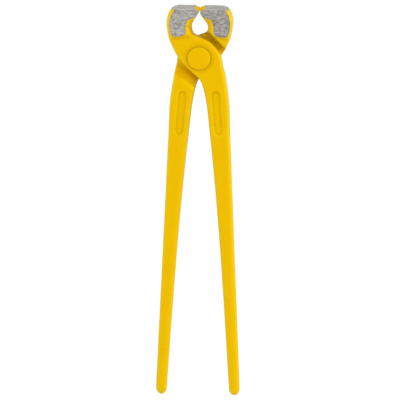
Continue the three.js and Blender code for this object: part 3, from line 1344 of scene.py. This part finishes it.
@dataclass
class Rivet(SubAssembly):
    """The pivot: a shank with a flat, round-edged head at each end.

    Attributes:
        head_radius: Radius of the heads.
        half_length: From the pivot to the flat of a head.
        head_height: Height of each head.
        head_rounding: Rounding of its edge.
        rounding_segments: Segments of that rounding.
        shank_radius: Radius of the shank.
        rim_highlight_bend: Bend written on the rounded edge, so that the enamel paints its edge
            highlight there.
        hammered: Depth of the marks that hammering left on the heads.
        hammer_size: Their length.
        rings: Radii of the rings of vertices on a head, as shares of its own.
        turns: Steps of the full turn.
        smooth_angle: Faces that meet at more than this have a sharp edge.
    """

    head_radius: float = (RIVET_HIGH.x - RIVET_LOW.x) / 2
    half_length: float = (RIVET_HIGH.z - RIVET_LOW.z) / 2
    head_height: float = 1.7 * MM
    head_rounding: float = 0.9 * MM
    rounding_segments: int = 6
    shank_radius: float = 5.0 * MM
    rim_highlight_bend: float = 0.5
    hammered: float = 0.03 * MM
    hammer_size: float = 5.0 * MM
    rings: tuple[float, ...] = (0.2, 0.4, 0.6, 0.75)
    turns: int = 120
    smooth_angle: float = math.radians(50.0)

    def build(self) -> Object:
        """Spins the rivet and leaves its heads slightly uneven, as a hammer does.

        Returns:
            The piece.
        """
        bm = bmesh.new()
        seat = self.half_length - self.head_height
        half = [(self.head_radius * ring, self.half_length) for ring in (0.0, *self.rings, 1.0)]
        half += [(self.head_radius, seat), (self.shank_radius, seat)]
        profile = [*half, *((radius, -height) for radius, height in reversed(half))]
        verts = [bm.verts.new((radius, 0.0, height)) for radius, height in profile]
        for start, end in zip(verts, verts[1:]):
            bm.edges.new((start, end))
        spin_solid(bm, self.turns)
        rim = [
            edge
            for edge in bm.edges
            if all(
                is_near(v.co.xy.length, self.head_radius) and is_near(abs(v.co.z), self.half_length)
                for v in edge.verts
            )
        ]
        round_off(bm, Rounded.EDGES, rim, self.head_rounding, self.rounding_segments)
        for vert in bm.verts:
            if abs(vert.co.z) > seat:
                sunk = self.hammered * (0.5 + 0.5 * noise.noise(vert.co / self.hammer_size))
                vert.co.z -= math.copysign(sunk, vert.co.z)
        # The bend on the rounded edge calls up the enamel's painted edge highlight
        bend = bm.verts.layers.float.new("edge")
        for vert in bm.verts:
            if vert.co.xy.length > self.head_radius - self.head_rounding and abs(vert.co.z) > seat:
                vert[bend] = self.rim_highlight_bend
        for face in bm.faces:
            face.smooth = True
        for edge in bm.edges:
            edge.smooth = edge.calc_face_angle(0.0) < self.smooth_angle
        move(bm, PIVOT)
        return to_object("rivet", bm)


class Graph:
    """A shader tree under construction."""

    def __init__(self, tree: NodeTree) -> None:
        """Starts on a tree and empties it.

        Args:
            tree: The tree.
        """
        self.tree = tree
        tree.nodes.clear()

    def add(self, kind: str, inputs: Inputs | None = None, **settings: object) -> Node:
        """Adds a node.

        Args:
            kind: Its type.
            inputs: A value, or the socket that feeds it, for each input by name or number.
            settings: Its own settings.

        Returns:
            The node.
        """
        node = self.tree.nodes.new(kind)
        for name, value in settings.items():
            setattr(node, name, value)
        for key, value in (inputs or {}).items():
            if isinstance(value, NodeSocket):
                self.tree.links.new(value, node.inputs[key])
            else:
                node.inputs[key].default_value = value
        return node

    def math(self, operation: str, *values: float | NodeSocket, clamp: bool = True) -> NodeSocket:
        """Adds a Math node.

        Args:
            operation: What it does.
            values: Its inputs, in order.
            clamp: Whether it keeps within 0 and 1.

        Returns:
            Its result.
        """
        inputs = dict(enumerate(values))
        node = self.add("ShaderNodeMath", inputs, operation=operation, use_clamp=clamp)
        return node.outputs[0]

    def attribute(self, name: str) -> NodeSocket:
        """Returns the value of an attribute of the piece's own mesh."""
        return self.add("ShaderNodeAttribute", attribute_name=name).outputs["Fac"]

    def places(self, cell: NodeSocket) -> NodeSocket:
        """Counts places on the piece in cells.

        Args:
            cell: Size of a cell along X, Y and Z.

        Returns:
            The place, from the piece's origin.
        """
        inputs = {0: self.add("ShaderNodeTexCoord").outputs["Object"], 1: cell}
        return self.add("ShaderNodeVectorMath", inputs, operation="DIVIDE").outputs[0]

    def blend(self, share: float | NodeSocket, low: object, high: object) -> NodeSocket:
        """Adds a mix of two colours.

        Args:
            share: How much of the second colour there is.
            low: The first colour, or a socket.
            high: The second colour, or a socket.

        Returns:
            The mixed colour.
        """
        node = self.add("ShaderNodeMix", {0: share, 6: low, 7: high}, data_type="RGBA")
        return node.outputs[2]

    def spread(self, value: NodeSocket, low: float, high: float) -> NodeSocket:
        """Stretches a value from 0 to 1 over another range.

        Args:
            value: The value.
            low: What 0 becomes.
            high: What 1 becomes.

        Returns:
            The stretched value.
        """
        node = self.add("ShaderNodeMapRange", {"Value": value, "To Min": low, "To Max": high})
        return node.outputs["Result"]


def new_group(name: str, inputs: dict[str, str], outputs: tuple[str, ...]) -> tuple[Graph, Node]:
    """Starts a shader node group.

    Args:
        name: Its name.
        inputs: The type of each input, Float or Vector, by its name.
        outputs: The names of its outputs, which are all numbers.

    Returns:
        Its graph, and the node that gives its inputs.
    """
    tree = bpy.data.node_groups.new(name, "ShaderNodeTree")
    for title, kind in inputs.items():
        tree.interface.new_socket(name=title, in_out="INPUT", socket_type="NodeSocket" + kind)
    for title in outputs:
        tree.interface.new_socket(name=title, in_out="OUTPUT", socket_type="NodeSocketFloat")
    graph = Graph(tree)
    return graph, graph.add("NodeGroupInput")


@dataclass(frozen=True)
class Effects:
    """The surface effects that the finishes share, each a node group.

    Attributes:
        grain: Cloudy or streaky variation.
        specks: Strewn specks.
        edges: Edges, hollows and rims of a piece, and the edges between bare faces that get a
            painted glint.
    """

    grain: NodeTree
    specks: NodeTree
    edges: NodeTree

    @staticmethod
    def grain_group() -> NodeTree:
        """Builds the group that gives cloudy, or streaky, variation at a size.

        Returns:
            The group.
        """
        sockets = {"Cell": "Vector", "Detail": "Float", "Contrast": "Float"}
        graph, given = new_group("uneven_grain", sockets, ("Value",))
        middle = 0.5
        clouds = graph.add(
            "ShaderNodeTexNoise",
            {
                "Vector": graph.places(given.outputs["Cell"]),
                "Scale": 1.0,
                "Detail": given.outputs["Detail"],
            },
        )
        centred = graph.math("SUBTRACT", clouds.outputs["Fac"], middle, clamp=False)
        value = graph.math("MULTIPLY_ADD", centred, given.outputs["Contrast"], middle)
        graph.add("NodeGroupOutput", {"Value": value})
        return graph.tree

    @staticmethod
    def specks_group() -> NodeTree:
        """Builds the group that strews small round specks.

        Returns:
            The group.
        """
        sockets = {"Spacing": "Vector", "Size": "Float", "Share": "Float"}
        graph, given = new_group("strewn_specks", sockets, ("Mask",))
        places = graph.places(given.outputs["Spacing"])
        cells = graph.add("ShaderNodeTexVoronoi", {"Vector": places, "Scale": 1.0}).outputs
        inside = graph.add(
            "ShaderNodeMapRange",
            {"Value": cells["Distance"], "From Min": given.outputs["Size"], "From Max": 0.0},
        )
        drawn = graph.add("ShaderNodeSeparateColor", {0: cells["Color"]})
        chosen = graph.math("LESS_THAN", drawn.outputs[0], given.outputs["Share"])
        mask = graph.math("MULTIPLY", inside.outputs["Result"], chosen)
        graph.add("NodeGroupOutput", {"Mask": mask})
        return graph.tree

    @staticmethod
    def edges_group() -> NodeTree:
        """Builds the group that finds the edges and hollows of a piece from its own bends.

        Returns:
            The group.
        """
        names = ("Edge", "Hollow", "Rim", "Glint_edge")
        graph, given = new_group("edges_and_hollows", {"Sharpness": "Float"}, names)
        sharpness, bend = given.outputs["Sharpness"], graph.attribute("edge")
        turned = graph.math("MULTIPLY", bend, -1.0, clamp=False)
        edge, hollow = (graph.math("DIVIDE", value, sharpness) for value in (bend, turned))
        found = (edge, hollow, graph.attribute("rim"), graph.attribute("glint_edge"))
        graph.add("NodeGroupOutput", dict(zip(names, found)))
        return graph.tree

    @classmethod
    def build(cls) -> "Effects":
        """Builds all the groups."""
        return cls(cls.grain_group(), cls.specks_group(), cls.edges_group())


@dataclass(frozen=True)
class Grain:
    """Cloudy or streaky variation.

    Attributes:
        cell: Size of its cells along X, Y and Z.
        detail: How many finer layers it has.
        contrast: How strongly it departs from a half.
    """

    cell: Triple
    detail: float
    contrast: float


@dataclass(frozen=True)
class Specks:
    """Strewn specks.

    Attributes:
        spacing: About how far apart their places are along X, Y and Z.
        size: Radius of a speck as a share of that.
        share: Share of the places that hold one.
    """

    spacing: Triple
    size: float
    share: float


class Finish(Graph):
    """A material under construction, with the shared effects at hand."""

    def __init__(self, name: str, effects: Effects) -> None:
        """Starts a material with an empty tree.

        Args:
            name: Name of the material.
            effects: The shared effects.
        """
        self.material = bpy.data.materials.new(name)
        self.material.use_nodes = True
        self.effects = effects
        super().__init__(self.material.node_tree)

    def place(self, group: NodeTree, inputs: Inputs) -> Node:
        """Places a shared effect with its own values."""
        return self.add("ShaderNodeGroup", inputs, node_tree=group)

    def grain(self, grain: Grain) -> NodeSocket:
        """Adds cloudy or streaky variation and returns its value, from 0 to 1."""
        inputs = {"Cell": grain.cell, "Detail": grain.detail, "Contrast": grain.contrast}
        return self.place(self.effects.grain, inputs).outputs["Value"]

    def specks(self, specks: Specks) -> NodeSocket:
        """Adds strewn specks and returns their mask."""
        inputs = {"Spacing": specks.spacing, "Size": specks.size, "Share": specks.share}
        return self.place(self.effects.specks, inputs).outputs["Mask"]

    def tint(
        self, tone: NodeSocket, mask: NodeSocket, share: float, colour: Colour
    ) -> NodeSocket:
        """Lays a colour over a tone.

        Args:
            tone: The tone.
            mask: Where the colour lies.
            share: How far it covers the tone where the mask is full.
            colour: The colour.

        Returns:
            The new tone.
        """
        return self.blend(self.math("MULTIPLY", mask, share), tone, colour)

    def bump(self, height: NodeSocket, depth: float) -> NodeSocket:
        """Adds relief.

        Args:
            height: The relief, from 0 to 1.
            depth: Its real depth.

        Returns:
            The normal.
        """
        node = self.add("ShaderNodeBump", {"Height": height, "Distance": depth, "Strength": 1.0})
        return node.outputs["Normal"]

    def shade(self, inputs: Inputs) -> Material:
        """Ends the material with its surface shader.

        Args:
            inputs: What its shader is given.

        Returns:
            The material.
        """
        surface = self.add("ShaderNodeBsdfPrincipled", inputs)
        self.add("ShaderNodeOutputMaterial", {"Surface": surface.outputs[0]})
        return self.material


@dataclass(frozen=True)
class YellowEnamel:
    """Satin yellow enamel, slightly uneven where it follows the forged skin."""

    # The coat, and how it varies
    deep: Colour = (0.84, 0.49, 0.0006, 1.0)
    body: Colour = (0.90, 0.54, 0.001, 1.0)
    clouds: Grain = Grain((16.0 * MM,) * 3, detail=3.0, contrast=1.6)
    mottle: Grain = Grain((3.0 * MM,) * 3, detail=2.0, contrast=1.4)
    mottle_share: float = 0.5
    # Painted highlight on edges, painted sheen where it is seen aslant, and painted shade in
    # hollows and round the rivet's head
    edge_highlight: Colour = (0.86, 0.62, 0.008, 1.0)
    grazing_sheen: Colour = (0.70, 0.56, 0.01, 1.0)
    hollow_shade: Colour = (0.55, 0.33, 0.001, 1.0)
    sharpness: float = 0.45
    edge_highlight_share: float = 0.4
    slant_blend: float = 0.5
    hollow_shade_share: float = 0.5
    # Specks of dust
    dust: Colour = (0.45, 0.27, 0.02, 1.0)
    specks: Specks = Specks((2.2 * MM,) * 3, size=0.16, share=0.05)
    dust_share: float = 0.25
    # How much less light it throws on itself
    dimmed: Colour = (0.22, 0.16, 0.01, 1.0)
    bounce_share: float = 0.25
    # Its surface
    sheen: Colour = (1.0, 0.74, 0.08, 1.0)
    gloss: float = 0.06
    lustre: float = 0.12
    roughness: tuple[float, float] = (0.36, 0.48)
    peel: Grain = Grain((1.1 * MM,) * 3, detail=2.0, contrast=1.5)
    peel_depth: float = 0.035 * MM

    def material(self, effects: Effects) -> Material:
        """Builds the material.

        Args:
            effects: The shared effects.

        Returns:
            The material.
        """
        made = Finish("yellow_enamel", effects)
        mottle = made.grain(self.mottle)
        turns = made.place(effects.edges, {"Sharpness": self.sharpness}).outputs
        tone = made.blend(made.grain(self.clouds), self.deep, self.body)
        tone = made.tint(tone, mottle, self.mottle_share, self.body)
        # Painted highlight: a lighter, lemon tone on convex edges
        tone = made.tint(tone, turns["Edge"], self.edge_highlight_share, self.edge_highlight)
        undulled = made.spread(made.attribute("light_and_dulling"), 1.0, 0.0)
        # Painted sheen: a lemon tone where the enamel is seen aslant, except on dulled faces
        slant = made.add("ShaderNodeLayerWeight", {"Blend": self.slant_blend}).outputs["Facing"]
        slant = made.math("MULTIPLY", made.math("MULTIPLY", slant, slant), undulled)
        tone = made.blend(slant, tone, self.grazing_sheen)
        # Painted shade: darker in hollows and in the ring round the rivet's head
        tone = made.tint(tone, turns["Hollow"], self.hollow_shade_share, self.hollow_shade)
        tone = made.tint(tone, made.specks(self.specks), self.dust_share, self.dust)
        bounced = made.add("ShaderNodeLightPath").outputs["Is Diffuse Ray"]
        tone = made.tint(tone, bounced, self.bounce_share, self.dimmed)
        return made.shade(
            {
                "Base Color": tone,
                "Roughness": made.spread(mottle, *self.roughness),
                "Metallic": self.lustre,
                "Specular IOR Level": made.math("MULTIPLY", undulled, self.gloss),
                "Specular Tint": self.sheen,
                "Normal": made.bump(made.grain(self.peel), self.peel_depth),
            }
        )


@dataclass(frozen=True)
class GroundSteel:
    """Bare steel with the marks of the grinding belt, which ran across the jaws."""

    # The belt's lines and blotches, and how much light tone each brings
    dark: Colour = (0.16, 0.154, 0.142, 1.0)
    light: Colour = (0.60, 0.573, 0.53, 1.0)
    lines: Grain = Grain((6.0 * MM, 0.5 * MM, 0.5 * MM), detail=2.0, contrast=4.0)
    blotches: Grain = Grain((2.8 * MM, 1.5 * MM, 1.5 * MM), detail=4.0, contrast=4.5)
    line_share: float = 0.35
    blotch_share: float = 0.48
    # Pits, a darker bluish band along the rim by the enamel, and a painted glint along the edges
    # between bare faces
    pits: Specks = Specks((2.0 * MM, 0.9 * MM, 0.9 * MM), size=0.35, share=0.16)
    rim_dark: Colour = (0.15, 0.155, 0.17, 1.0)
    glint: Colour = (0.75, 0.74, 0.72, 1.0)
    sharpness: float = 1.0
    pit_share: float = 0.5
    rim_share: float = 0.6
    glint_share: float = 0.5
    # Its surface
    metal: float = 0.85
    roughness: tuple[float, float] = (0.40, 0.58)
    line_depth: float = 0.02 * MM

    def material(self, effects: Effects) -> Material:
        """Builds the material.

        Args:
            effects: The shared effects.

        Returns:
            The material.
        """
        made = Finish("ground_steel", effects)
        lines = made.grain(self.lines)
        blotches = made.math("MULTIPLY", made.grain(self.blotches), self.blotch_share)
        turns = made.place(effects.edges, {"Sharpness": self.sharpness}).outputs
        share = made.math("MULTIPLY_ADD", lines, self.line_share, blotches)
        # Painted light: each bare cut face is made lighter by its own amount
        share = made.math("ADD", share, made.attribute("light_and_dulling"))
        tone = made.blend(share, self.dark, self.light)
        tone = made.tint(tone, made.specks(self.pits), self.pit_share, self.dark)
        # A darker, bluish band along the rim by the enamel
        tone = made.tint(tone, turns["Rim"], self.rim_share, self.rim_dark)
        # Painted glint along the edges between two bare faces
        tone = made.tint(tone, turns["Glint_edge"], self.glint_share, self.glint)
        return made.shade(
            {
                "Base Color": tone,
                "Metallic": self.metal,
                "Roughness": made.spread(lines, *self.roughness),
                "Normal": made.bump(lines, self.line_depth),
            }
        )


@dataclass(frozen=True)
class Lamp:
    """A square lamp.

    Attributes:
        name: Its name.
        place: Where it hangs.
        size: Length of its side.
        power: Its power in watts.
    """

    name: str
    place: Triple
    size: float
    power: float

    def hang(self, aim: Vector) -> None:
        """Hangs the lamp.

        Args:
            aim: The point that it faces.
        """
        light = bpy.data.lights.new(self.name, "AREA")
        light.shape = "SQUARE"
        light.size = self.size
        light.energy = self.power
        made = link_object(self.name, light)
        made.location = self.place
        towards = aim - Vector(self.place)
        made.rotation_euler = towards.to_track_quat("-Z", "Y").to_euler()


@dataclass(frozen=True)
class Studio:
    """A white floor under the tool, soft light, and the camera at the photograph's angle.

    Attributes:
        tilt: Lean of the camera towards the jaws.
        side: Lean of the camera to the right.
        roll: Turn of the picture.
        distance: From the camera to its aim.
        aim: The point in the middle of the picture.
        span: Width of the picture at the aim.
        clip: Nearest and farthest distance that the camera sees.
        floor_size: Half the floor's width.
        floor_drop: How far the floor lies under the tool.
        floor_tones: Darkest and lightest tone of the paper on the floor.
        paper_grain: How the paper varies.
        white_share: How far the camera sees the paper as plain white; the rest keeps the shadow.
        white: Strength of that white.
        sky: Strength of the light from all around.
        lamps: The lamps, with a little more light from the upper right.
    """

    tilt: float = math.radians(10.0)
    side: float = math.radians(4.2)
    roll: float = math.radians(0.35)
    distance: float = 6.0
    aim: Triple = (0.83 * MM, -110.7 * MM, 11.1 * MM)
    span: float = 305.1 * MM
    clip: tuple[float, float] = (0.1, 50.0)
    floor_size: float = 6.0
    floor_drop: float = 0.2 * MM
    floor_tones: tuple[Colour, Colour] = ((0.86, 0.86, 0.86, 1.0), (0.88, 0.88, 0.88, 1.0))
    paper_grain: Grain = Grain((4.0 * MM,) * 3, detail=2.0, contrast=0.4)
    white_share: float = 0.96
    white: float = 1.02
    sky: float = 0.765
    lamps: tuple[Lamp, ...] = (
        Lamp("key_lamp", place=(1.25, 0.55, 1.6), size=1.0, power=8.4),
        Lamp("side_lamp", place=(2.0, 0.3, 0.40), size=0.6, power=9.5),
        Lamp("rim_lamp", place=(-1.7, 0.3, 0.8), size=0.8, power=7.0),
    )

    def camera(self) -> None:
        """Makes the camera and looks through it."""
        across, upward = math.sin(self.side), math.cos(self.side)
        back = Vector((across, math.sin(self.tilt) * upward, math.cos(self.tilt) * upward))
        right = Vector((0.0, 1.0, 0.0)).cross(back).normalized()
        turned = Matrix((right, back.cross(right), back)).transposed()
        turned = turned @ Matrix.Rotation(self.roll, 3, "Z")
        lens = bpy.data.cameras.new("camera")
        lens.lens = lens.sensor_width * self.distance / self.span
        lens.clip_start, lens.clip_end = self.clip
        made = link_object("camera", lens)
        stand = Matrix.Translation(Vector(self.aim) + back * self.distance)
        made.matrix_world = stand @ turned.to_4x4()
        bpy.context.scene.camera = made

    def light(self) -> None:
        """Lights the tool from all around and hangs the lamps."""
        world = bpy.data.worlds.new("studio")
        world.use_nodes = True
        bpy.context.scene.world = world
        sky = world.node_tree.nodes["Background"]
        sky.inputs["Color"].default_value = WHITE
        sky.inputs["Strength"].default_value = self.sky
        for lamp in self.lamps:
            lamp.hang(Vector(self.aim))

    def paper(self, effects: Effects) -> Material:
        """Builds the floor's white paper, which shows white but keeps the tool's shadow.

        Args:
            effects: The shared effects.

        Returns:
            The material.
        """
        made = Finish("white_paper", effects)
        tone = made.blend(made.grain(self.paper_grain), *self.floor_tones)
        sheet = made.add("ShaderNodeBsdfDiffuse", {"Color": tone})
        white = made.add("ShaderNodeEmission", {"Color": WHITE, "Strength": self.white})
        rays = made.add("ShaderNodeLightPath").outputs
        seen = made.math("ADD", rays["Is Camera Ray"], rays["Is Glossy Ray"])
        seen = made.math("ADD", seen, rays["Is Transmission Ray"])
        share = made.math("MULTIPLY", seen, self.white_share)
        both = made.add(
            "ShaderNodeMixShader", {0: share, 1: sheet.outputs[0], 2: white.outputs[0]}
        )
        made.add("ShaderNodeOutputMaterial", {"Surface": both.outputs[0]})
        return made.material

    def floor(self, effects: Effects, rivet: Rivet, handle: Handle) -> None:
        """Lays the floor under the rivet and the handle tips, which the tool rests on.

        Args:
            effects: The shared effects.
            rivet: The rivet, whose head rests on the floor.
            handle: A handle, whose tip rests on it too.
        """
        rim = -(rivet.head_radius - rivet.head_rounding)
        tip_z = PIVOT.z - handle.end_thickness / 2
        slope = math.atan2(tip_z, rim - handle.end_y)
        bm = bmesh.new()
        bmesh.ops.create_grid(bm, x_segments=1, y_segments=1, size=self.floor_size)
        turn(bm, Matrix.Rotation(-slope, 3, "X"))
        move(bm, (0.0, rim, -self.floor_drop))
        made = to_object("floor", bm)
        made.data.materials.append(self.paper(effects))


def report(piece: Object) -> None:
    """Logs a finished piece with its count of triangles."""
    piece.data.calc_loop_triangles()
    LOG.info("%s: %d triangles", piece.name, len(piece.data.loop_triangles))


def main() -> None:
    logging.basicConfig(level=logging.INFO, format="%(name)s: %(message)s")
    bpy.context.scene.view_settings.view_transform = "Standard"
    effects = Effects.build()
    enamel = YellowEnamel().material(effects)
    steel = GroundSteel().material(effects)
    studio = Studio()
    studio.camera()
    studio.light()

    forging = LeverForging()
    carved = forging.carve()
    for half, name, node, dents, seed in (
        (Half.FRONT, "front_forging", "front_lever", (JAW_PIT,), FRONT_SEED),
        (Half.REAR, "rear_forging", "rear_lever", (), REAR_SEED),
    ):
        forged = forging.forge(carved, dents, seed)
        lever = forging.finish(forged, name, half)
        forging.dress(lever, half.value, node, [enamel, steel])
        report(lever)
    bpy.data.meshes.remove(carved)
    rivet = Rivet()
    pin = rivet.build()
    rivet.dress(pin, Half.REAR.value, "pivot_rivet", [enamel])
    report(pin)
    studio.floor(effects, rivet, forging.handle)


if __name__ == "__main__":
    main()
